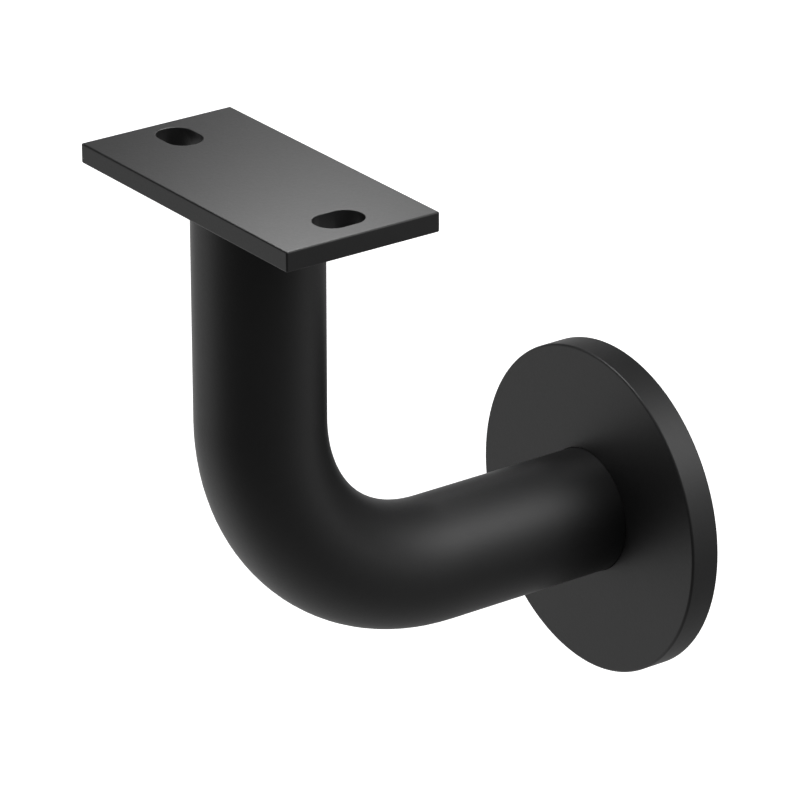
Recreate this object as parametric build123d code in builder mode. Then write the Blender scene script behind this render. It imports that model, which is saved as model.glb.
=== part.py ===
from build123d import *
import os

# Handrail bracket: a bent tube arm with a slotted saddle on top and a hidden wall flange under a round rose
#
# The wall is the plane y = 0 and the arm stands out of it towards -Y, +X runs along the handrail and +Z is up.
# The origin is the point where the arm's level axis meets the wall. Sizes are in millimetres.

# Reach of the arm
wall_to_rail = 75.0
arm_to_saddle = 75.2

# Arm tube
tube_diameter = 22.4
tube_wall = 2.0
bend_radius = 35.5

# Saddle plate and its two screw slots
saddle_length = 60.0
saddle_width = 30.0
saddle_thickness = 3.5
slot_length = 9.0
slot_width = 6.5
slot_from_end = 7.0

# Cover rose: a cap over the wall flange
rose_diameter = 60.0
rose_depth = 5.6
rose_rim = 3.0
rose_face = 1.3

# Wall screws, countersunk in the flange
wall_screw_count = 3
wall_screw_hole = 5.4
wall_screw_sink = 10.4
wall_screw_sink_angle = 90

# Set screw through the rose's rim, bearing on the flange's edge
set_screw_diameter = 3.0
set_screw_below_rim = 0.3
set_screw_key = 1.5
set_screw_socket_depth = 1.4
set_screw_cup = 1.4
set_screw_cup_depth = 0.4
set_screw_cup_angle = 45
set_screw_chamfer = 0.3

# Welds
saddle_weld_leg = 2.5
flange_weld_leg = 1.4
flange_weld_below_wall = 0.2
weld_hollow = 0.12

# Clearances and edges
socket_clearance = 0.1
rose_bore_clearance = 0.15
rose_rim_clearance = 0.3
rose_face_clearance = 0.3
thread_clearance = 0.05
edge_break = 0.2

# Sizes that follow from those above: the rose leaves room for the flange, and the screws lie midway across it
tube_radius = tube_diameter / 2
bore_radius = tube_radius - tube_wall
tube_recess = flange_weld_leg + flange_weld_below_wall
socket_radius = tube_radius + socket_clearance
slot_spacing = saddle_length - 2 * slot_from_end
rose_radius = rose_diameter / 2
rose_inner_radius = rose_radius - rose_rim
rose_pocket = rose_depth - rose_face
flange_radius = rose_inner_radius - rose_rim_clearance
flange_thickness = rose_pocket - rose_face_clearance
wall_screw_radius = (socket_radius + flange_radius) / 2
set_screw_off_wall = flange_thickness / 2
set_screw_length = rose_radius - flange_radius - set_screw_below_rim

# Planes that the pieces are drawn on
wall_plane = Plane(origin=(0, 0, 0), x_dir=(1, 0, 0), z_dir=(0, -1, 0))
arm_plane = Plane.YZ
saddle_plane = Plane(origin=(0, -wall_to_rail, arm_to_saddle), x_dir=(1, 0, 0), z_dir=(0, 0, 1))
post_plane = Plane(origin=saddle_plane.origin, x_dir=(0, 1, 0), z_dir=(1, 0, 0))
set_screw_tip = Plane(origin=(0, -set_screw_off_wall, -flange_radius), x_dir=(1, 0, 0), z_dir=(0, 0, -1))
rose_bottom = Plane(origin=(0, -set_screw_off_wall, -rose_radius), x_dir=(1, 0, 0), z_dir=(0, 0, -1))


# Saddle plate: flat bar, with one slot along the rail and one across it
with BuildPart() as saddle_plate:
    with BuildSketch(saddle_plane):
        Rectangle(saddle_length, saddle_width)
        with Locations((-slot_spacing / 2, 0)):
            SlotOverall(slot_length, slot_width, mode=Mode.SUBTRACT)
        with Locations((slot_spacing / 2, 0)):
            SlotOverall(slot_length, slot_width, rotation=90, mode=Mode.SUBTRACT)
    extrude(amount=saddle_thickness)
    fillet(saddle_plate.edges(), radius=edge_break)
saddle_plate.part.label = "saddle_plate"


# Arm: one tube, level out of the wall, bent up to the saddle
with BuildPart() as arm_tube:
    with BuildLine(arm_plane):
        FilletPolyline(
            (-tube_recess, 0),
            (-wall_to_rail, 0),
            (-wall_to_rail, arm_to_saddle),
            radius=bend_radius,
        )
    with BuildSketch(wall_plane.offset(tube_recess)):
        Circle(tube_radius)
        Circle(bore_radius, mode=Mode.SUBTRACT)
    sweep()
arm_tube.part.label = "arm_tube"


# Weld under the saddle: a fillet bead round the tube, with a slightly hollow face
with BuildPart() as saddle_weld:
    with BuildSketch(post_plane):
        with BuildLine():
            bead_on_plate = (tube_radius + saddle_weld_leg, 0)
            bead_on_tube = (tube_radius, -saddle_weld_leg)
            Polyline(bead_on_tube, (tube_radius, 0), bead_on_plate)
            SagittaArc(bead_on_plate, bead_on_tube, -weld_hollow * saddle_weld_leg)
        make_face()
    revolve(axis=Axis(saddle_plane.origin, (0, 0, 1)))
saddle_weld.part.label = "saddle_weld"


# Wall flange: turned disc with a socket for the tube and countersunk holes for the wall screws
with BuildPart() as wall_flange:
    with BuildSketch(wall_plane):
        Circle(flange_radius)
        Circle(socket_radius, mode=Mode.SUBTRACT)
    extrude(amount=flange_thickness)
    rim_edges = wall_flange.edges().filter_by(GeomType.CIRCLE).sort_by(SortBy.RADIUS)[-2:]
    fillet(rim_edges, radius=edge_break)
    with Locations(wall_plane.offset(flange_thickness)):
        with PolarLocations(wall_screw_radius, wall_screw_count, start_angle=90):
            CounterSinkHole(
                wall_screw_hole / 2,
                wall_screw_sink / 2,
                counter_sink_angle=wall_screw_sink_angle,
            )
wall_flange.part.label = "wall_flange"


# Weld behind the flange: a bead in the socket's mouth, on the end of the tube, kept below the wall face
with BuildPart() as flange_weld:
    with BuildSketch(arm_plane):
        with BuildLine():
            bead_on_flange = (-flange_weld_below_wall, socket_radius)
            bead_on_tube_end = (-tube_recess, tube_radius - flange_weld_leg)
            Polyline(bead_on_tube_end, (-tube_recess, socket_radius), bead_on_flange)
            SagittaArc(bead_on_flange, bead_on_tube_end, -weld_hollow * flange_weld_leg)
        make_face()
    revolve(axis=Axis.Y)
flange_weld.part.label = "flange_weld"


# Cover rose: turned cap that slides along the arm, over the flange and up to the wall
with BuildPart() as cover_rose:
    with BuildSketch(wall_plane):
        Circle(rose_radius)
    extrude(amount=rose_depth)
    with BuildSketch(wall_plane):
        Circle(rose_inner_radius)
    extrude(amount=rose_pocket, mode=Mode.SUBTRACT)
    with Locations(wall_plane.offset(rose_depth)):
        Hole(tube_radius + rose_bore_clearance)
    fillet(cover_rose.edges().filter_by(GeomType.CIRCLE), radius=edge_break)
    with BuildSketch(rose_bottom):
        Circle(set_screw_diameter / 2)
    extrude(amount=flange_radius - rose_radius, mode=Mode.SUBTRACT)
cover_rose.part.label = "cover_rose"


# Set screw: headless, with a hexagon socket outside and a cup point on the flange's edge
with BuildPart() as rose_set_screw:
    with BuildSketch(set_screw_tip):
        Circle(set_screw_diameter / 2 - thread_clearance)
    extrude(amount=set_screw_length)
    chamfer(rose_set_screw.edges().filter_by(GeomType.CIRCLE), length=set_screw_chamfer)
    with BuildSketch(set_screw_tip.offset(set_screw_length)):
        RegularPolygon(set_screw_key / 2, 6, major_radius=False)
    extrude(amount=-set_screw_socket_depth, mode=Mode.SUBTRACT)
    with BuildSketch(set_screw_tip):
        Circle(set_screw_cup / 2)
    extrude(amount=set_screw_cup_depth, taper=set_screw_cup_angle, mode=Mode.SUBTRACT)
rose_set_screw.part.label = "rose_set_screw"


os.makedirs("parts", exist_ok=True)
for piece in (saddle_plate, saddle_weld, arm_tube, wall_flange, flange_weld, cover_rose, rose_set_screw):
    export_step(piece.part, f"parts/{piece.part.label}.step")
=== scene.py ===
# %% [markdown]
# # A powder-coated handrail bracket
#
# A handrail bracket holds a rail off the wall. The rail lies on a small flat saddle, a bent tube carries
# the saddle, and a round rose hides the flange that is screwed to the wall. The solids come with their true
# sizes and places, so nothing here moves or resizes them. This lesson gives every surface its finish,
# models the pieces whose fine shapes plain solids leave out, and lights the bracket for its portrait.
#
# The first step loads the solids. Each of them is a mesh whose object sits at the origin, in metres, with
# its place in its own vertices, so a new piece fits as soon as it is modelled where the real one sits.

# %% Load the solids
import math

import bmesh
import bpy
from mathutils import Matrix, Vector


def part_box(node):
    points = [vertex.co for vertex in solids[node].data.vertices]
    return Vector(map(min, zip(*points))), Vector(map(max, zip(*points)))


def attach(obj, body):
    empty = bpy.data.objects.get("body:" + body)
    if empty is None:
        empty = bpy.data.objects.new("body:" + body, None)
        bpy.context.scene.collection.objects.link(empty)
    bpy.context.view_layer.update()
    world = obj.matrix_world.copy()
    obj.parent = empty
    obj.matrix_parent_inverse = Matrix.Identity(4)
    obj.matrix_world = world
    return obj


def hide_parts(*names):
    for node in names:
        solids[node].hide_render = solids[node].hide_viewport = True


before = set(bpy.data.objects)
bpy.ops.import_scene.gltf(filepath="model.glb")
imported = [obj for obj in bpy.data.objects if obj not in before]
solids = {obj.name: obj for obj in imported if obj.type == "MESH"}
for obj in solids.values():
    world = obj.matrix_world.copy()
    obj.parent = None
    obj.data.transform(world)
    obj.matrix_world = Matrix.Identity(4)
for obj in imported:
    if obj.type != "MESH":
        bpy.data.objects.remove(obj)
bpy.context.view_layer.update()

MM = 0.001
print("solids:", sorted(solids))

# %% [markdown]
# Every later step needs a few sizes. They could be typed in again, but then they would go stale as soon as
# a solid changed, so they are read from the boxes of the solids. The arm leaves the wall along the Y axis,
# which makes its radius the largest x of its box, and its upright part stands under the middle of the
# saddle.

# %% Read the sizes from the solids
plate_low, plate_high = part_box("saddle_plate")
arm_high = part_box("arm_tube")[1]
rose_low, rose_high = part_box("cover_rose")
screw_low, screw_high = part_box("rose_set_screw")
saddle_bead_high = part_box("saddle_weld")[1]
flange_bead_low, flange_bead_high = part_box("flange_weld")

tube_radius = arm_high.x
post_y = (plate_low.y + plate_high.y) / 2
print("tube diameter in mm:", round(2 * tube_radius / MM, 2), " post at y:", round(post_y / MM, 2))

# %% [markdown]
# A material in Blender is a small graph of nodes. Writing each node out by hand takes three lines, so a few
# tiny helpers come first. `add` makes a node, sets its options and feeds its inputs, and an input takes
# either a plain value or another node's output. `calculate` does the same for one sum. `new_group` makes an
# empty node group with named sockets, which is how one effect is built once and used in many materials.

# %% Helpers for nodes
def feed(tree, socket, value):
    """Link a socket to another node's output, or set it to a plain value."""
    if isinstance(value, bpy.types.NodeSocket):
        tree.links.new(value, socket)
    else:
        socket.default_value = value


def add(tree, kind, inputs=None, **options):
    """Make a node with these options, and feed its inputs by name or by number."""
    made = tree.nodes.new(kind)
    for option, value in options.items():
        setattr(made, option, value)
    for key, value in (inputs or {}).items():
        feed(tree, made.inputs[key], value)
    return made


def calculate(tree, operation, first, second=0.0, third=0.0):
    """One sum in a Math node."""
    made = add(tree, "ShaderNodeMath", {0: first, 1: second, 2: third}, operation=operation)
    return made.outputs[0]


def new_group(name, inputs, outputs):
    """An empty shader node group, with its sockets and its two end nodes."""
    group = bpy.data.node_groups.new(name, "ShaderNodeTree")
    for label, kind, value in inputs:
        socket = group.interface.new_socket(label, in_out="INPUT", socket_type=kind)
        if value is not None:
            socket.default_value = value
    for label, kind in outputs:
        group.interface.new_socket(label, in_out="OUTPUT", socket_type=kind)
    return group, group.nodes.new("NodeGroupInput").outputs, group.nodes.new("NodeGroupOutput").inputs


FLOAT, COLOUR, VECTOR = "NodeSocketFloat", "NodeSocketColor", "NodeSocketVector"
print("node helpers are ready")

# %% [markdown]
# ## The powder coat
#
# The bracket is coated with black polyester powder, sprayed on dry and baked until it flows together. A
# coat like that is never quite flat. It keeps a fine pebble grain, about half a millimetre wide, and a
# slower wave that painters call orange peel. An image texture could show both, but it would blur up close
# and stretch over the bend. Noise in Object coordinates has neither fault, because it is the same size in
# millimetres everywhere on the part.
#
# The group puts out a colour, a roughness and a height. The height is in metres, like the model, so its
# values can be thought of as real ones: the grain is only some thousandths of a millimetre high.

# %% Node group: powder grain
powder_grain, given, result = new_group(
    "powder_grain",
    [
        ("Vector", VECTOR, None),
        ("Coat Colour", COLOUR, (0.02, 0.02, 0.02, 1)),
        ("Colour Spread", FLOAT, 0.1),
        ("Roughness", FLOAT, 0.45),
        ("Roughness Spread", FLOAT, 0.04),
        ("Grain Width", FLOAT, 0.5 * MM),
        ("Grain Height", FLOAT, 0.006 * MM),
        ("Peel Width", FLOAT, 2.5 * MM),
        ("Peel Height", FLOAT, 0.004 * MM),
    ],
    [("Colour", COLOUR), ("Roughness", FLOAT), ("Height", FLOAT)],
)


def centred_noise(tree, vector, width, detail):
    """Noise between about -1 and 1, whose blobs are this wide."""
    scale = calculate(tree, "DIVIDE", 1.0, width)
    noise = add(tree, "ShaderNodeTexNoise", {"Vector": vector, "Scale": scale, "Detail": detail})
    return calculate(tree, "MULTIPLY_ADD", noise.outputs["Fac"], 2.0, -1.0)


grain = centred_noise(powder_grain, given["Vector"], given["Grain Width"], 2.0)
peel = centred_noise(powder_grain, given["Vector"], given["Peel Width"], 1.0)

grain_height = calculate(powder_grain, "MULTIPLY", grain, given["Grain Height"])
height = calculate(powder_grain, "MULTIPLY_ADD", peel, given["Peel Height"], grain_height)
spread = given["Roughness Spread"]
roughness = calculate(powder_grain, "MULTIPLY_ADD", grain, spread, given["Roughness"])
brightness = calculate(powder_grain, "MULTIPLY_ADD", peel, given["Colour Spread"], 1.0)
shaded = add(
    powder_grain,
    "ShaderNodeVectorMath",
    {0: given["Coat Colour"], "Scale": brightness},
    operation="SCALE",
)
feed(powder_grain, result["Colour"], shaded.outputs[0])
feed(powder_grain, result["Roughness"], roughness)
feed(powder_grain, result["Height"], height)
print("group:", powder_grain.name, "with", len(powder_grain.nodes), "nodes")

# %% [markdown]
# Not all of the steel is coated. The powder reaches only a little way into the tube's open end, and deeper
# in the tube is still bare, with long marks from the mandrel that it was drawn over. The small set screw is
# black all over, because it was dipped in a hot salt bath. Both are bare metal with a worked surface, so
# a second group serves both: noise that is stretched along one direction gives the marks, and each mark
# changes the colour and the roughness together, as a scratch does.

# %% Node group: worked steel
worked_steel, given, result = new_group(
    "worked_steel",
    [
        ("Vector", VECTOR, None),
        ("Mark Size", VECTOR, (0.3 * MM, 0.3 * MM, 6 * MM)),
        ("Dark", COLOUR, (0.2, 0.2, 0.2, 1)),
        ("Light", COLOUR, (0.4, 0.4, 0.4, 1)),
        ("Roughness", FLOAT, 0.35),
        ("Roughness Spread", FLOAT, 0.08),
        ("Mark Depth", FLOAT, 0.002 * MM),
    ],
    [("Colour", COLOUR), ("Roughness", FLOAT), ("Height", FLOAT)],
)
stretched = add(
    worked_steel,
    "ShaderNodeVectorMath",
    {0: given["Vector"], 1: given["Mark Size"]},
    operation="DIVIDE",
)
noise = add(
    worked_steel,
    "ShaderNodeTexNoise",
    {"Vector": stretched.outputs[0], "Scale": 1.0, "Detail": 3.0},
)
marks = noise.outputs["Fac"]
blend = add(
    worked_steel,
    "ShaderNodeMix",
    {"Factor": marks, "A": given["Dark"], "B": given["Light"]},
    data_type="RGBA",
)
centred = calculate(worked_steel, "SUBTRACT", marks, 0.5)
spread = given["Roughness Spread"]
roughness = calculate(worked_steel, "MULTIPLY_ADD", centred, spread, given["Roughness"])
height = calculate(worked_steel, "MULTIPLY", centred, given["Mark Depth"])
feed(worked_steel, result["Colour"], blend.outputs["Result"])
feed(worked_steel, result["Roughness"], roughness)
feed(worked_steel, result["Height"], height)
print("group:", worked_steel.name, "with", len(worked_steel.nodes), "nodes")

# %% [markdown]
# Each material places a group with its own values and passes the results on to a Principled shader, which
# stays outside the group. A Bump node turns the height into a bent normal. Its distance is 1, so that the
# height keeps its own unit. The coat lies a little rougher where the gun reaches badly, as inside the rose,
# so the pieces get slightly different values instead of one shared material.

# %% Powder-coated materials
COAT_BLACK = (0.0125, 0.0125, 0.0128, 1)
COAT_ROUGHNESS = 0.45


def new_material(name):
    """A material with its node tree, its Principled shader and its Object coordinates."""
    material = bpy.data.materials.new(name)
    material.use_nodes = True
    tree = material.node_tree
    place = add(tree, "ShaderNodeTexCoord").outputs["Object"]
    return material, tree, tree.nodes["Principled BSDF"], place


def powder_coat(name, colour=COAT_BLACK, roughness=COAT_ROUGHNESS, **grain_values):
    """A black powder coat; an argument such as Peel_Width sets the group's input of that name."""
    material, tree, shader, place = new_material(name)
    coat = add(tree, "ShaderNodeGroup", node_tree=powder_grain)
    feed(tree, coat.inputs["Vector"], place)
    feed(tree, coat.inputs["Coat Colour"], colour)
    feed(tree, coat.inputs["Roughness"], roughness)
    for label, value in grain_values.items():
        feed(tree, coat.inputs[label.replace("_", " ")], value)
    bump = add(tree, "ShaderNodeBump", {"Height": coat.outputs["Height"], "Distance": 1.0})
    feed(tree, shader.inputs["Base Color"], coat.outputs["Colour"])
    feed(tree, shader.inputs["Roughness"], coat.outputs["Roughness"])
    feed(tree, shader.inputs["Normal"], bump.outputs["Normal"])
    return material


saddle_coat = powder_coat("saddle_coat")
rose_coat = powder_coat("rose_coat")
flange_coat = powder_coat("flange_coat", roughness=0.5, Peel_Width=1.8 * MM)
weld_coat = powder_coat("weld_coat", roughness=0.42, Peel_Width=1.2 * MM)
print("powder coats:", [coat.name for coat in (saddle_coat, rose_coat, flange_coat, weld_coat)])

# %% [markdown]
# The arm needs both finishes in one material, because it is one tube. A mask decides between them, and it
# has to know which points lie on the inner wall, also round the bend. The trick is the distance to the
# tube's centreline. Seen from the bend's centre, the bend's centreline is a circle. Clamping the two
# coordinates to zero or less folds each straight part back onto its end of the bend, so one formula serves
# all three. The powder then thins out with depth behind the mouth, and noise frays its edge into a mist of
# specks.

# %% Arm material: coated outside, bare inside
TUBE_WALL = 2.0 * MM
BEND_RADIUS = 35.5 * MM
WALL_MARGIN = 0.1 * MM
MIST_DEPTH = 14.0 * MM
MIST_START = 0.9
MIST_FADE = 0.25
SPECK_SCALE = 1.2 / MM

arm_coat, tree, shader, place = new_material("arm_coat")
axes = add(tree, "ShaderNodeSeparateXYZ", {0: place}).outputs
along_level = calculate(tree, "MINIMUM", calculate(tree, "SUBTRACT", axes["Y"], post_y + BEND_RADIUS), 0.0)
along_post = calculate(tree, "MINIMUM", calculate(tree, "SUBTRACT", axes["Z"], BEND_RADIUS), 0.0)


def length_of(first, second):
    """The length of a flat vector with these two parts."""
    squared = calculate(tree, "MULTIPLY", second, second)
    return calculate(tree, "SQRT", calculate(tree, "MULTIPLY_ADD", first, first, squared))


in_plane = calculate(tree, "SUBTRACT", length_of(along_level, along_post), BEND_RADIUS)
from_centreline = length_of(in_plane, axes["X"])
inner_limit = tube_radius - TUBE_WALL + WALL_MARGIN
on_inner_wall = calculate(tree, "LESS_THAN", from_centreline, inner_limit)

depth = calculate(tree, "SUBTRACT", arm_high.y, axes["Y"])
specks = add(tree, "ShaderNodeTexNoise", {"Vector": place, "Scale": SPECK_SCALE, "Detail": 4.0})
frayed = calculate(tree, "SUBTRACT", specks.outputs["Fac"], MIST_START)
thinned = calculate(tree, "MULTIPLY_ADD", depth, 1.0 / MIST_DEPTH, frayed)
fade = add(tree, "ShaderNodeMapRange", {"Value": thinned, "From Min": 0.0, "From Max": MIST_FADE})
bare = calculate(tree, "MULTIPLY", fade.outputs["Result"], on_inner_wall)

coat = add(tree, "ShaderNodeGroup", {"Vector": place, "Coat Colour": COAT_BLACK}, node_tree=powder_grain)
feed(tree, coat.inputs["Roughness"], COAT_ROUGHNESS)
steel = add(
    tree,
    "ShaderNodeGroup",
    {
        "Vector": place,
        "Mark Size": (0.25 * MM, 12 * MM, 0.25 * MM),
        "Dark": (0.12, 0.115, 0.11, 1),
        "Light": (0.34, 0.33, 0.32, 1),
        "Roughness": 0.42,
    },
    node_tree=worked_steel,
)
colour = add(
    tree,
    "ShaderNodeMix",
    {"Factor": bare, "A": coat.outputs["Colour"], "B": steel.outputs["Colour"]},
    data_type="RGBA",
)
roughness = add(
    tree,
    "ShaderNodeMix",
    {"Factor": bare, "A": coat.outputs["Roughness"], "B": steel.outputs["Roughness"]},
)
height = add(
    tree,
    "ShaderNodeMix",
    {"Factor": bare, "A": coat.outputs["Height"], "B": steel.outputs["Height"]},
)
bump = add(tree, "ShaderNodeBump", {"Height": height.outputs["Result"], "Distance": 1.0})
feed(tree, shader.inputs["Base Color"], colour.outputs["Result"])
feed(tree, shader.inputs["Roughness"], roughness.outputs["Result"])
feed(tree, shader.inputs["Metallic"], bare)
feed(tree, shader.inputs["Normal"], bump.outputs["Normal"])
print("arm material:", len(tree.nodes), "nodes, bare from about", round(MIST_DEPTH / MM), "mm inwards")

# %% [markdown]
# The set screw wears no powder, so its material places the second group alone. Black oxide is a very thin
# skin that darkens the steel and leaves it metal. That is why the shader stays fully metallic and only the
# colours are dark. The marks are short along the screw's axis and longer across it, as a lathe tool leaves
# them.

# %% Blackened screw
screw_black, tree, shader, place = new_material("screw_black")
steel = add(
    tree,
    "ShaderNodeGroup",
    {
        "Vector": place,
        "Mark Size": (0.5 * MM, 0.5 * MM, 0.12 * MM),
        "Dark": (0.045, 0.045, 0.05, 1),
        "Light": (0.1, 0.1, 0.105, 1),
        "Roughness": 0.34,
        "Mark Depth": 0.004 * MM,
    },
    node_tree=worked_steel,
)
bump = add(tree, "ShaderNodeBump", {"Height": steel.outputs["Height"], "Distance": 1.0})
feed(tree, shader.inputs["Base Color"], steel.outputs["Colour"])
feed(tree, shader.inputs["Roughness"], steel.outputs["Roughness"])
feed(tree, shader.inputs["Normal"], bump.outputs["Normal"])
shader.inputs["Metallic"].default_value = 1.0
print("screw material:", len(tree.nodes), "nodes")

# %% [markdown]
# Now each solid gets its material, in place of the plain one that it came with. Five of the solids are
# replaced by modelled pieces further down, and they are dressed too, so that nothing in the file is left
# plain.

# %% The solids get their materials
for name, material in {
    "saddle_plate": saddle_coat,
    "arm_tube": arm_coat,
    "cover_rose": rose_coat,
    "wall_flange": flange_coat,
    "saddle_weld": weld_coat,
    "flange_weld": weld_coat,
    "rose_set_screw": screw_black,
}.items():
    solids[name].data.materials.clear()
    solids[name].data.materials.append(material)
    print(name, "wears", material.name)

# %% [markdown]
# A solid's mesh is made face by face, so along each seam between two faces the points are doubled, and each
# copy carries the normal of its own side only. The two differ by some degrees, and a glossy finish shows
# that as a faint line. Three modifiers mend the shading and leave the mesh as it is: Weld joins the
# doubles, Edge Split opens the truly sharp edges again, and Weighted Normal lets the large flat faces rule
# the normals, so that flats stay flat and only the small rounded edges turn.

# %% Even normals across the seams
SEAM_DOUBLES = 0.001 * MM
SOLID_SHARP_ANGLE = 35


def even_normals(piece):
    """Let the large faces of a piece rule its normals."""
    even = piece.modifiers.new("even_normals", "WEIGHTED_NORMAL")
    even.mode = "FACE_AREA_WITH_ANGLE"
    even.keep_sharp = True


for solid in solids.values():
    weld = solid.modifiers.new("join_seams", "WELD")
    weld.merge_threshold = SEAM_DOUBLES
    split = solid.modifiers.new("sharp_edges", "EDGE_SPLIT")
    split.split_angle = math.radians(SOLID_SHARP_ANGLE)
    even_normals(solid)
print("solids with even normals:", len(solids))

# %% [markdown]
# ## Modelled pieces
#
# Some solids are only stand-ins: two plain welds, a plain screw, and a plate and a rose with edges that are
# crisper than the real ones. Each gets a modelled piece that replaces it. A bmesh is a mesh that lives in
# memory while it is edited, and its operators do the same work as the tools of Edit Mode. These helpers
# turn a finished bmesh into an object. They make all faces point outwards, shade them smooth except across
# sharp edges, and tie the piece to the body that it moves with.

# %% Helpers for modelled pieces
DOUBLES = 0.0005 * MM


def finished_piece(mesh, name, material, stands_for, sharp_angle):
    """Turn a bmesh into an object that stands for a solid."""
    bmesh.ops.remove_doubles(mesh, verts=mesh.verts, dist=DOUBLES)
    bmesh.ops.recalc_face_normals(mesh, faces=mesh.faces)
    data = bpy.data.meshes.new(name)
    mesh.to_mesh(data)
    mesh.free()
    data.shade_smooth()
    data.set_sharp_from_angle(angle=math.radians(sharp_angle))
    data.materials.append(material)
    piece = bpy.data.objects.new(name, data)
    bpy.context.scene.collection.objects.link(piece)
    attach(piece, "root")
    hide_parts(stands_for)
    print(name, "has", len(data.polygons), "faces")
    return piece


def spun(mesh, outline, steps, turn=math.tau, lift=0.0, merge=True):
    """Spin a line of (radius, height) points about the Z axis, rising by lift at each step."""
    verts = [mesh.verts.new((radius, 0, height)) for radius, height in outline]
    edges = [mesh.edges.new(pair) for pair in zip(verts, verts[1:])]
    bmesh.ops.spin(
        mesh,
        geom=verts + edges,
        cent=(0, 0, 0),
        axis=(0, 0, 1),
        dvec=(0, 0, lift),
        angle=turn,
        steps=steps,
        use_merge=merge,
    )


print("piece helpers are ready")

# %% [markdown]
# ## Saddle plate
#
# The saddle is a length of flat bar with two slots. Its edges were broken before it was coated, and they
# end up with a radius of about 0.3 mm, or half of that round the slots. That is small, but it is what draws
# the fine dark line between the top and the sides.
#
# The plate has three outlines, its own and those of the slots. Each starts as a circle that is pulled
# apart: its quarters go to the corners of the plate, or to the ends of a slot. Only the circle's radius has
# to change from ring to ring to follow a rounded edge, and since each ring is extruded from the last, the
# wall and both its edges are one strip. Where the radius is used up, as at the plate's crisp corners, the
# quarters move inwards instead. The flat faces are then filled in between the three rims. The first and the
# last ring lie in those faces, a little way in from the edge: they hold the flats flat, because the shading
# of the rounded edge then ends there and doesn't bleed into the wide triangles beyond.

# %% Saddle plate
PLATE_EDGE = 0.3 * MM
PLATE_CORNER = 0.35 * MM
NEARLY_SHARP = 0.02 * MM
SLOT_EDGE = 0.15 * MM
HOLDING_RING = 0.1 * MM
SLOT_WIDTH = 6.5 * MM
SLOT_LENGTH = 9.0 * MM
SLOT_FROM_END = 7.0 * MM
EDGE_STEPS = 5
PLATE_SEGMENTS = 24
SLOT_SEGMENTS = 72


def walled_outline(mesh, centre, reach, radius, rounding, segments):
    """A wall with both edges rounded, in a hole if rounding is negative. Returns its two rims."""
    thickness = plate_high.z - plate_low.z
    bends = [math.pi / 2 * step / EDGE_STEPS for step in range(EDGE_STEPS + 1)]
    foot = [(rounding * (1 - math.sin(bend)), abs(rounding) * (1 - math.cos(bend))) for bend in bends]
    foot.insert(0, (rounding + math.copysign(HOLDING_RING, rounding), 0))
    rings = foot + [(inset, thickness - height) for inset, height in reversed(foot)]

    verts = bmesh.ops.create_circle(mesh, segments=segments, radius=radius)["verts"]
    half_step = Matrix.Rotation(math.pi / segments, 3, "Z")
    bmesh.ops.rotate(mesh, verts=verts, cent=(0, 0, 0), matrix=half_step)
    for vert in verts:
        vert.co.x += centre.x + math.copysign(reach.x, vert.co.x)
        vert.co.y += centre.y + math.copysign(reach.y, vert.co.y)
    rim = list({edge for vert in verts for edge in vert.link_edges})
    lowest = rim
    pulled_in = 0.0
    for number, (inset, height) in enumerate(rings):
        if number > 0:
            made = bmesh.ops.extrude_edge_only(mesh, edges=rim)["geom"]
            rim = [part for part in made if isinstance(part, bmesh.types.BMEdge)]
            verts = [part for part in made if isinstance(part, bmesh.types.BMVert)]
        left = max(radius - inset, NEARLY_SHARP)
        pull = left - (radius - inset)
        for vert in verts:
            local = vert.co.xy - centre
            corner = Vector((math.copysign(1, local.x), math.copysign(1, local.y)))
            outwards = (local - corner * (reach - Vector((pulled_in, pulled_in)))).normalized()
            new_place = centre + corner * (reach - Vector((pull, pull))) + outwards * left
            vert.co = (*new_place, height)
        pulled_in = pull
    return lowest, rim


plate = bmesh.new()
plate_middle = ((plate_low + plate_high) / 2).xy
plate_reach = (plate_high - plate_low).xy / 2 - Vector((PLATE_CORNER, PLATE_CORNER))
slot_offset = Vector(((plate_high.x - plate_low.x) / 2 - SLOT_FROM_END, 0))
half_straight = (SLOT_LENGTH - SLOT_WIDTH) / 2
slot_radius = SLOT_WIDTH / 2
slot_along = Vector((half_straight, 0))
slot_across = Vector((0, half_straight))
rims = [
    walled_outline(plate, plate_middle, plate_reach, PLATE_CORNER, PLATE_EDGE, PLATE_SEGMENTS),
    walled_outline(plate, plate_middle - slot_offset, slot_along, slot_radius, -SLOT_EDGE, SLOT_SEGMENTS),
    walled_outline(plate, plate_middle + slot_offset, slot_across, slot_radius, -SLOT_EDGE, SLOT_SEGMENTS),
]
for side in zip(*rims):
    bmesh.ops.triangle_fill(plate, use_beauty=True, edges=[edge for rim in side for edge in rim])
bmesh.ops.translate(plate, verts=plate.verts, vec=(0, 0, plate_low.z))
flat_bar = finished_piece(
    plate,
    "saddle_flat_bar",
    saddle_coat,
    "saddle_plate",
    sharp_angle=80,
)
even_normals(flat_bar)

# %% [markdown]
# ## Cover rose
#
# The rose is turned from steel: a cap with a bore for the tube and a pocket for the flange. Its front edge
# is rounded by almost half a millimetre, which catches a thin bright line above and a dark one on the
# right. The bore needs some play to slide along the tube, but both parts are coated, and the two coats fill
# most of it.
#
# A turned part is a spin of its section. The bevels come after the spin, because the bevel tool then rounds
# a whole circle of edges at once. The hole for the set screw can't be spun, so it is drilled: a Boolean
# modifier subtracts a cylinder, and only its result is kept, which leaves no drill behind in the scene.

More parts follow.
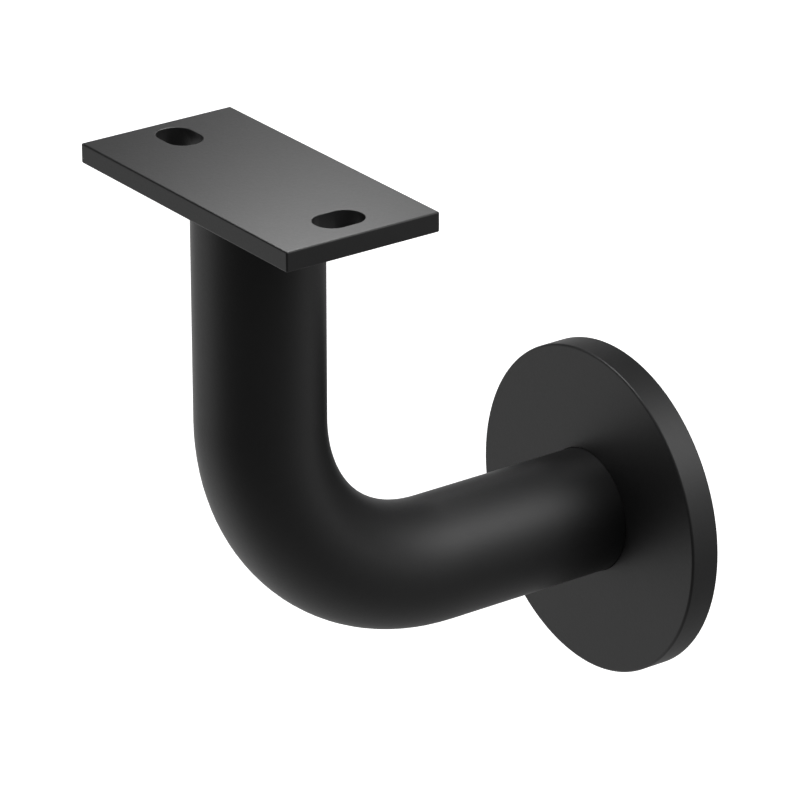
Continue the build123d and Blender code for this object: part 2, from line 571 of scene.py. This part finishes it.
# %% Cover rose
ROSE_RIM = 3.0 * MM
ROSE_FACE = 1.3 * MM
FRONT_EDGE = 0.45 * MM
HIDDEN_EDGE = 0.2 * MM
BORE_EDGE = 0.06 * MM
SLIDING_GAP = 0.06 * MM
SCREW_PLAY = 0.05 * MM
ROSE_STEPS = 192
BEVEL_SEGMENTS = 5
HOLE_SEGMENTS = 48
ROSE_SHARP_ANGLE = 50
CUT_DOUBLES = 0.002 * MM


def rounded_circle(mesh, radius, height, rounding):
    """Bevel the circle of edges that lies at this radius and height."""
    near = 0.001 * MM
    on_circle = {
        vert
        for vert in mesh.verts
        if abs(vert.co.xy.length - radius) < near and abs(vert.co.z - height) < near
    }
    bmesh.ops.bevel(
        mesh,
        geom=[edge for edge in mesh.edges if on_circle.issuperset(edge.verts)],
        offset=rounding,
        segments=BEVEL_SEGMENTS,
        profile=0.5,
        affect="EDGES",
        material=-1,
    )


def drilled(piece, drill_mesh, sharp_angle):
    """Subtract a closed mesh from a piece, and keep only the result."""
    data = bpy.data.meshes.new("drill")
    drill_mesh.to_mesh(data)
    drill_mesh.free()
    drill = bpy.data.objects.new("drill", data)
    bpy.context.scene.collection.objects.link(drill)
    cut = piece.modifiers.new("drill", "BOOLEAN")
    cut.operation = "DIFFERENCE"
    cut.solver = "EXACT"
    cut.object = drill
    whole = piece.data
    with_cut = piece.evaluated_get(bpy.context.evaluated_depsgraph_get())
    piece.data = bpy.data.meshes.new_from_object(with_cut)
    piece.modifiers.remove(cut)

    # The cut leaves some points almost on top of each other, which are merged.
    cleaned = bmesh.new()
    cleaned.from_mesh(piece.data)
    bmesh.ops.remove_doubles(cleaned, verts=cleaned.verts, dist=CUT_DOUBLES)
    bmesh.ops.dissolve_degenerate(cleaned, edges=cleaned.edges, dist=CUT_DOUBLES)
    cleaned.to_mesh(piece.data)
    cleaned.free()

    # The drill goes with its mesh, because removing a mesh removes the objects that use it.
    for left_over in (whole, data):
        bpy.data.meshes.remove(left_over)
    piece.data.name = piece.name
    piece.data.set_sharp_from_angle(angle=math.radians(sharp_angle))
    print(piece.name, "is drilled and has", len(piece.data.polygons), "faces")


rose_radius = rose_high.x
rose_depth = rose_high.y - rose_low.y
pocket_radius = rose_radius - ROSE_RIM
pocket_depth = rose_depth - ROSE_FACE
bore = tube_radius + SLIDING_GAP

rose = bmesh.new()
section = [
    (bore, pocket_depth),
    (bore, rose_depth),
    (rose_radius, rose_depth),
    (rose_radius, 0),
    (pocket_radius, 0),
    (pocket_radius, pocket_depth),
    (bore, pocket_depth),
]
spun(rose, section, steps=ROSE_STEPS)
bmesh.ops.remove_doubles(rose, verts=rose.verts, dist=DOUBLES)
bmesh.ops.recalc_face_normals(rose, faces=rose.faces)
rounded_circle(rose, rose_radius, rose_depth, FRONT_EDGE)
rounded_circle(rose, rose_radius, 0, HIDDEN_EDGE)
rounded_circle(rose, pocket_radius, 0, HIDDEN_EDGE)
rounded_circle(rose, bore, pocket_depth, HIDDEN_EDGE)
rounded_circle(rose, bore, rose_depth, BORE_EDGE)
face_outwards = Matrix.Rotation(math.radians(90), 3, "X")
bmesh.ops.rotate(rose, verts=rose.verts, cent=(0, 0, 0), matrix=face_outwards)
bmesh.ops.translate(rose, verts=rose.verts, vec=(0, rose_high.y, 0))
rose_cap = finished_piece(rose, "rose_cap", rose_coat, "cover_rose", ROSE_SHARP_ANGLE)

drill = bmesh.new()
hole_radius = screw_high.x + SCREW_PLAY
hole_top = -pocket_radius + ROSE_RIM / 2
hole_bottom = -rose_radius - ROSE_RIM
bmesh.ops.create_cone(
    drill,
    cap_ends=True,
    segments=HOLE_SEGMENTS,
    radius1=hole_radius,
    radius2=hole_radius,
    depth=hole_top - hole_bottom,
)
hole_middle = Vector((0, (screw_low.y + screw_high.y) / 2, (hole_top + hole_bottom) / 2))
bmesh.ops.translate(drill, verts=drill.verts, vec=hole_middle)
drilled(rose_cap, drill, ROSE_SHARP_ANGLE)
even_normals(rose_cap)

# %% [markdown]
# ## Weld beads
#
# The tube is joined to the saddle by a fillet weld laid right round it, and a second weld joins its other
# end to the flange, from the side of the wall. A weld bead is a row of small pools that froze one after the
# other, so its face carries curved ripples, and a welder's hand never keeps them quite even. The powder
# coat softens them, but they still show. A plain ring would look moulded.
#
# The ring is spun from an outline of the bead's section. Then every point is pushed away from the corner
# that the bead fills, or back towards it, by a wave that runs round the ring. Slower waves are added to it,
# so that the spacing of the ripples wavers and the bead swells here and there. The points on the tube and
# on the plate slide along them, so the bead never leaves what it joins. The outline starts a little smaller
# than the plain weld wherever the ripples need the room.

# %% Weld beads
FACE_POINTS = 9
STEPS_PER_RIPPLE = 8
RIPPLE_HEIGHT = 0.05
BEAD_HOLLOW = 0.1
ROOM_FOR_RIPPLES = 0.94
AT_THE_CORNER = 0.01


def weld_bead(corner_radius, reach_out, reach_along, ripples):
    """A rippled ring in the corner at z = 0. It reaches that far outwards, and that far along the axis."""
    mesh = bmesh.new()
    corner = (corner_radius, 0)
    outline = [corner]
    for step in range(FACE_POINTS + 1):
        share = step / FACE_POINTS
        pull = 1 - BEAD_HOLLOW * math.sin(math.pi * share)
        outline.append((corner_radius + reach_out * share * pull, reach_along * (1 - share) * pull))
    outline.append(corner)
    spun(mesh, outline, steps=STEPS_PER_RIPPLE * ripples)
    for vert in mesh.verts:
        around = math.atan2(vert.co.y, vert.co.x)
        radius = math.hypot(vert.co.x, vert.co.y)
        out = (radius - corner_radius) / reach_out
        along = vert.co.z / reach_along
        if out + along < AT_THE_CORNER:
            continue
        across = out / (out + along)
        arch = math.sin(math.pi * across)
        waver = 0.35 * math.sin(5 * around + 1) + 0.2 * math.sin(13 * around)
        phase = (ripples * around / math.tau + waver + 0.45 * arch) % 1.0
        ripple = math.sin(math.pi * phase) - 0.6
        swell = 0.6 * math.sin(3 * around) + 0.4 * math.sin(7 * around + 2)
        push = RIPPLE_HEIGHT * (ripple * (0.35 + 0.65 * arch) + 0.5 * swell)
        new_radius = corner_radius + (radius - corner_radius) * (1 + push)
        vert.co.x *= new_radius / radius
        vert.co.y *= new_radius / radius
        vert.co.z *= 1 + push
    return mesh


saddle_reach = (saddle_bead_high.x - tube_radius) * ROOM_FOR_RIPPLES
saddle_bead = weld_bead(tube_radius, saddle_reach, -saddle_reach, ripples=62)
bmesh.ops.translate(saddle_bead, verts=saddle_bead.verts, vec=(0, post_y, plate_low.z))
finished_piece(
    saddle_bead,
    "saddle_weld_bead",
    weld_coat,
    "saddle_weld",
    sharp_angle=80,
)

flange_reach = flange_bead_high.y - flange_bead_low.y
flange_bead = weld_bead(
    flange_bead_high.x,
    -flange_reach,
    flange_reach * ROOM_FOR_RIPPLES,
    ripples=66,
)
turn_to_wall = Matrix.Rotation(math.radians(-90), 3, "X")
bmesh.ops.rotate(flange_bead, verts=flange_bead.verts, cent=(0, 0, 0), matrix=turn_to_wall)
bmesh.ops.translate(flange_bead, verts=flange_bead.verts, vec=(0, flange_bead_low.y, 0))
finished_piece(
    flange_bead,
    "flange_weld_bead",
    weld_coat,
    "flange_weld",
    sharp_angle=80,
)

# %% [markdown]
# ## Set screw
#
# A small headless screw in the underside of the rose holds it against the wall. It is an M3 screw with a
# hexagon socket for a 1.5 mm key, and a cup point that bites into the flange's edge.
#
# A thread is a spin that also climbs. The outline is one tooth, from root to root, whose three flats are
# each an eighth of a pitch long. It rises by one pitch in a turn, so each turn meets the last. The spin
# starts below the screw and ends above it, and two planes cut it to length. Pulling in all points that lie
# outside a cone gives the chamfers, as a lathe would. The socket and the cup are grown from the two cut
# rims, by extruding a rim and scaling it.

# %% Set screw
PITCH = 0.5 * MM
TOOTH = 0.25 * MM
CHAMFER = 0.3 * MM
KEY_SIZE = 1.5 * MM
SOCKET_DEPTH = 1.4 * MM
SOCKET_CHAMFER = 0.06 * MM
SOCKET_TIP = 0.2 * MM
CUP_RADIUS = 0.7 * MM
CUP_DEPTH = 0.4 * MM
ALMOST_A_POINT = 0.0001
STEPS_PER_TURN = 36

crest = (screw_high.x - screw_low.x) / 2
length = screw_high.z - screw_low.z
root = crest - TOOTH
turns = math.ceil(length / PITCH) + 3

screw = bmesh.new()
tooth = [
    (root, -1.5 * PITCH),
    (root, -1.375 * PITCH),
    (crest, -1.0625 * PITCH),
    (crest, -0.9375 * PITCH),
    (root, -0.625 * PITCH),
    (root, -0.5 * PITCH),
]
spun(
    screw,
    tooth,
    steps=STEPS_PER_TURN * turns,
    turn=math.tau * turns,
    lift=PITCH / STEPS_PER_TURN,
    merge=False,
)
bmesh.ops.remove_doubles(screw, verts=screw.verts, dist=DOUBLES)


def cut_rim(mesh, height, side):
    """Cut the mesh at this height, drop what lies beyond it, and return the rim's edges."""
    cut = bmesh.ops.bisect_plane(
        mesh,
        geom=mesh.verts[:] + mesh.edges[:] + mesh.faces[:],
        plane_co=(0, 0, height),
        plane_no=(0, 0, side),
        clear_outer=True,
    )
    return [part for part in cut["geom_cut"] if isinstance(part, bmesh.types.BMEdge)]


def grown(mesh, rim, radius=None, height=None, scale=1.0):
    """Extrude a rim into a new one, and move that to a radius or a height."""
    made = bmesh.ops.extrude_edge_only(mesh, edges=rim)["geom"]
    for vert in [part for part in made if isinstance(part, bmesh.types.BMVert)]:
        flat = math.hypot(vert.co.x, vert.co.y)
        factor = radius(math.atan2(vert.co.y, vert.co.x)) / flat if radius else scale
        vert.co.x *= factor
        vert.co.y *= factor
        if height is not None:
            vert.co.z = height
    return [part for part in made if isinstance(part, bmesh.types.BMEdge)]


def hexagon(angle):
    """Distance from the centre to a hexagon's side, in the direction of this angle."""
    sixth = math.tau / 6
    return KEY_SIZE / 2 / math.cos((angle % sixth) - sixth / 2)


point_rim = cut_rim(screw, 0.0, -1)
socket_rim = cut_rim(screw, length, 1)
for vert in screw.verts:
    limit = crest - CHAMFER + min(vert.co.z, length - vert.co.z, CHAMFER)
    flat = math.hypot(vert.co.x, vert.co.y)
    if flat > limit:
        vert.co.x *= limit / flat
        vert.co.y *= limit / flat

mouth = grown(screw, socket_rim, radius=lambda angle: hexagon(angle) + SOCKET_CHAMFER)
walls = grown(screw, mouth, radius=hexagon, height=length - SOCKET_CHAMFER)
end_rim = grown(screw, walls, height=length - SOCKET_DEPTH)
grown(screw, end_rim, scale=ALMOST_A_POINT, height=length - SOCKET_DEPTH - SOCKET_TIP)
cup_rim = grown(screw, point_rim, radius=lambda angle: CUP_RADIUS)
grown(screw, cup_rim, scale=ALMOST_A_POINT, height=CUP_DEPTH)

point_up = Matrix.Rotation(math.pi, 3, "X")
bmesh.ops.rotate(screw, verts=screw.verts, cent=(0, 0, 0), matrix=point_up)
middle_of_screw = (screw_low + screw_high) / 2
bmesh.ops.translate(screw, verts=screw.verts, vec=(0, middle_of_screw.y, screw_high.z))
finished_piece(
    screw,
    "set_screw",
    screw_black,
    "rose_set_screw",
    sharp_angle=30,
)

# %% [markdown]
# ## The studio
#
# The bracket is photographed on plain white, high above the floor, as a rail would hold it. The floor is a
# white sheet that lies 1.1 m below the saddle. For the camera it glows with a strength of 1, which is
# exactly white, so that no lamp has to be turned up to bleach it. The glow is seen by camera rays only and
# lights nothing. The sheet is left out of mirrored and scattered light, because the world paints its bounce
# below.

# %% Floor
FLOOR_SIDE = 16.0
RAIL_HEIGHT = 1.1

sheet = bmesh.new()
bmesh.ops.create_grid(sheet, x_segments=1, y_segments=1, size=FLOOR_SIDE / 2)
bmesh.ops.translate(sheet, verts=sheet.verts, vec=(0, 0, plate_high.z - RAIL_HEIGHT))
floor = bpy.data.objects.new("floor", bpy.data.meshes.new("floor"))
sheet.to_mesh(floor.data)
sheet.free()
bpy.context.scene.collection.objects.link(floor)
floor.visible_glossy = False
floor.visible_diffuse = False

floor_paint = bpy.data.materials.new("floor_paint")
floor_paint.use_nodes = True
floor.data.materials.append(floor_paint)
tree = floor_paint.node_tree
paint = tree.nodes["Principled BSDF"]
paint.inputs["Base Color"].default_value = (0.8, 0.8, 0.8, 1)
paint.inputs["Roughness"].default_value = 0.9
rays = add(tree, "ShaderNodeLightPath")
lift = add(tree, "ShaderNodeEmission", {"Strength": rays.outputs["Is Camera Ray"]})
both = add(tree, "ShaderNodeAddShader", {0: paint.outputs[0], 1: lift.outputs[0]})
feed(tree, tree.nodes["Material Output"].inputs["Surface"], both.outputs[0])
print("floor at z in mm:", round((plate_high.z - RAIL_HEIGHT) / MM))

# %% [markdown]
# Black paint has hardly any colour of its own. What gives it shape is what it mirrors, softly, so the
# lights here are chosen by their reflections. A wide window stands high on the right and draws the
# highlight along the arm, and the low part of it is faint. A white card low on the left and a narrow one
# beside the bracket brighten the edges there. Two glows stand for the floor, under the bracket and behind
# it. The side of the camera has no more than the faint light of the room, which keeps the middle of the
# tube deep black.
#
# Each light is a glow: a patch that is brightest in one direction and fades smoothly all round. The fade is
# one line of algebra. The dot product of two directions is 1 where they agree, and the exponential of what
# is missing to 1, times a focus, falls off like a bell.
#
# The backdrop behind the bracket is white for camera rays, wherever they meet it. Glossy and transmission
# rays see it too, as a glow that fades towards its sides. A surface that is seen at a grazing angle mirrors
# it almost whole, and that draws the bright rims along the outline of the tube.

# %% World
soft_light, given, result = new_group(
    "soft_light",
    [
        ("Direction", VECTOR, None),
        ("Towards", VECTOR, (0, 0, 1)),
        ("Focus", FLOAT, 10.0),
        ("Strength", FLOAT, 1.0),
    ],
    [("Value", FLOAT)],
)
aligned = add(
    soft_light,
    "ShaderNodeVectorMath",
    {0: given["Direction"], 1: given["Towards"]},
    operation="DOT_PRODUCT",
)
missing = calculate(soft_light, "SUBTRACT", aligned.outputs["Value"], 1.0)
fade = calculate(soft_light, "EXPONENT", calculate(soft_light, "MULTIPLY", missing, given["Focus"]))
feed(soft_light, result["Value"], calculate(soft_light, "MULTIPLY", fade, given["Strength"]))


def towards(azimuth, elevation):
    """A direction from the bracket: azimuth 0 is straight out of the wall, 90 is along +X."""
    turn, rise = math.radians(azimuth), math.radians(elevation)
    level = math.cos(rise)
    return Vector((math.sin(turn) * level, -math.cos(turn) * level, math.sin(rise)))


world = bpy.data.worlds.new("studio")
bpy.context.scene.world = world
world.use_nodes = True
tree = world.node_tree
direction = add(tree, "ShaderNodeTexCoord").outputs["Generated"]


def glow(azimuth, elevation, focus, strength):
    """A patch of soft light in the surround, wide where its focus is low."""
    made = add(tree, "ShaderNodeGroup", node_tree=soft_light)
    feed(tree, made.inputs["Direction"], direction)
    feed(tree, made.inputs["Towards"], towards(azimuth, elevation))
    feed(tree, made.inputs["Focus"], focus)
    feed(tree, made.inputs["Strength"], strength)
    return made.outputs["Value"]


window = glow(131.5, 43.5, 11, 3.36)
low_window = glow(132, -18, 12, 0.205)
white_card = glow(-56, -40.5, 6.8, 0.79)
side_card = glow(-38.5, 1, 28.5, 1.0)
ground = glow(0, -89, 3.85, 0.43)
rear_floor = glow(176, -33.5, 12.3, 0.42)
room = glow(59, 43, 2.45, 0.22)
backdrop = glow(-116.5, -18.5, 8.35, 0.88)
backdrop_centre = glow(-100, -11.5, 35, 0.28)

light = window
for part in (low_window, white_card, side_card, ground, rear_floor, room):
    light = calculate(tree, "ADD", light, part)
rays = add(tree, "ShaderNodeLightPath")
glossy, transmitted = rays.outputs["Is Glossy Ray"], rays.outputs["Is Transmission Ray"]
mirrored = calculate(tree, "MAXIMUM", glossy, transmitted)
backdrop = calculate(tree, "ADD", backdrop, backdrop_centre)
light = calculate(tree, "MULTIPLY_ADD", backdrop, mirrored, light)
seen = add(tree, "ShaderNodeMix", {"Factor": rays.outputs["Is Camera Ray"], "A": light, "B": 1.0})
surround = tree.nodes["Background"]
surround.inputs["Color"].default_value = (1, 1, 1, 1)
feed(tree, surround.inputs["Strength"], seen.outputs["Result"])
print("world:", len(tree.nodes), "nodes")

# %% [markdown]
# Far lights give every point of a flat face the same reflection, so they leave it one even grey. The
# saddle's top isn't even: it grows lighter from left to right. Only a light that is close can do that,
# because each point of the face then sees it in another direction. So small softboxes stand near the
# bracket. The top one is only a hand's width above the saddle. The low one on the right is faint, and
# brightens the upright part of the tube just under the saddle. The camera doesn't see them. Blender wants a
# lamp's watts, and for a square lamp they are four times its area times its radiance, so the helper works
# them out.

# %% Lamps
MIDDLE = Vector((0, -45, 35)) * MM
WATTS_PER_AREA = 4.0


def softbox(name, azimuth, elevation, distance, side, radiance):
    """A square lamp that faces the bracket, placed by its direction and its distance."""
    direction_to_lamp = towards(azimuth, elevation)
    lamp = bpy.data.objects.new(name, bpy.data.lights.new(name, "AREA"))
    lamp.data.shape = "SQUARE"
    lamp.data.size = side
    lamp.data.energy = WATTS_PER_AREA * side * side * radiance
    lamp.location = MIDDLE + direction_to_lamp * distance
    lamp.rotation_euler = direction_to_lamp.to_track_quat("Z", "Y").to_euler()
    lamp.visible_camera = False
    bpy.context.scene.collection.objects.link(lamp)
    print(name, "gives", round(lamp.data.energy, 3), "W")


softbox("top_softbox", -99.5, 74.7, 0.1295, 0.055, 9.65)
softbox("left_softbox", -125, 31.5, 0.288, 0.0605, 1.4)
softbox("low_softbox", 135, -10, 0.226, 0.081, 0.3)

# %% [markdown]
# ## The camera
#
# The camera stands where the photograph was taken from. The edges of the saddle, the arm and the rose fix
# that place, because with a known shape only one viewpoint puts all of them where the picture has them. The
# lens is long, which is usual for products: from almost 0.9 m away the upright part of the arm hardly
# narrows.

# %% Camera
AZIMUTH, ELEVATION = 54.112, 23.684
DISTANCE = 0.8764
AIM = Vector((-1.133, -45.418, 30.861)) * MM
LENS = 231.45

towards_camera = towards(AZIMUTH, ELEVATION)
camera = bpy.data.objects.new("camera", bpy.data.cameras.new("camera"))
camera.data.lens = LENS
camera.data.clip_start = 0.1
camera.data.clip_end = 100.0
camera.location = AIM + towards_camera * DISTANCE
camera.rotation_euler = towards_camera.to_track_quat("Z", "Y").to_euler()
bpy.context.scene.collection.objects.link(camera)
bpy.context.scene.camera = camera
bpy.context.scene.view_settings.view_transform = "Standard"
print("camera at", [round(part, 3) for part in camera.location])
